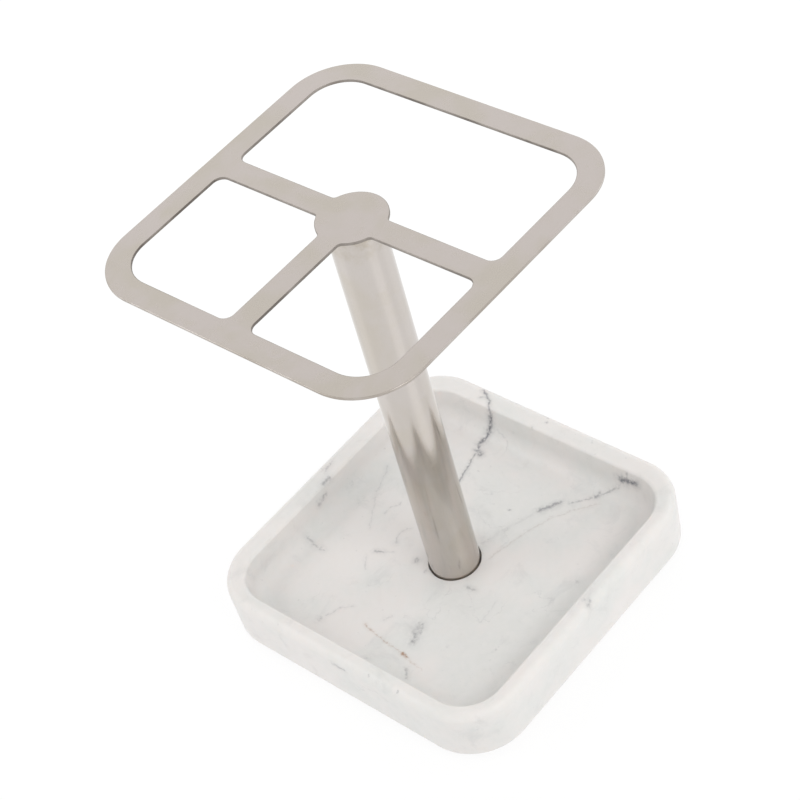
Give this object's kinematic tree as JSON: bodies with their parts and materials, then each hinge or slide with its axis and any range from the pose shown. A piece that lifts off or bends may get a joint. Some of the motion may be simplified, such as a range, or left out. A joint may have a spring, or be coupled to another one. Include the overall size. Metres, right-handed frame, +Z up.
{
  "type": "razor stand",
  "caption": "Flat steel rack with rectangular openings on a round steel post, bolted through a shallow square marble dish, for hanging razors to dry.",
  "frame": {"origin": "on the plane that the rubber feet stand on, under the middle of the marble block; the post's axis is at X 1.05 mm, Y -1.05 mm", "axes": "+Z up along the post; +X to the right along the rack's crossbar; +Y to the back, where the wide opening is"},
  "size_m": [0.1034, 0.1034, 0.1423],
  "materials": {
    "marble": "honed",
    "satin_steel": "satin",
    "zinc_steel": "zinc plated",
    "rubber": "matt"
  },
  "bodies": {
    "root": {"marble_base": "marble", "rubber_foot_1": "rubber", "rubber_foot_2": "rubber", "rubber_foot_3": "rubber", "rubber_foot_4": "rubber", "post_tube": "satin_steel", "post_gasket": "rubber", "threaded_plug": "zinc_steel", "flat_washer": "zinc_steel", "fixing_screw": "zinc_steel", "top_plate": "satin_steel"}
  },
  "joints": []
}
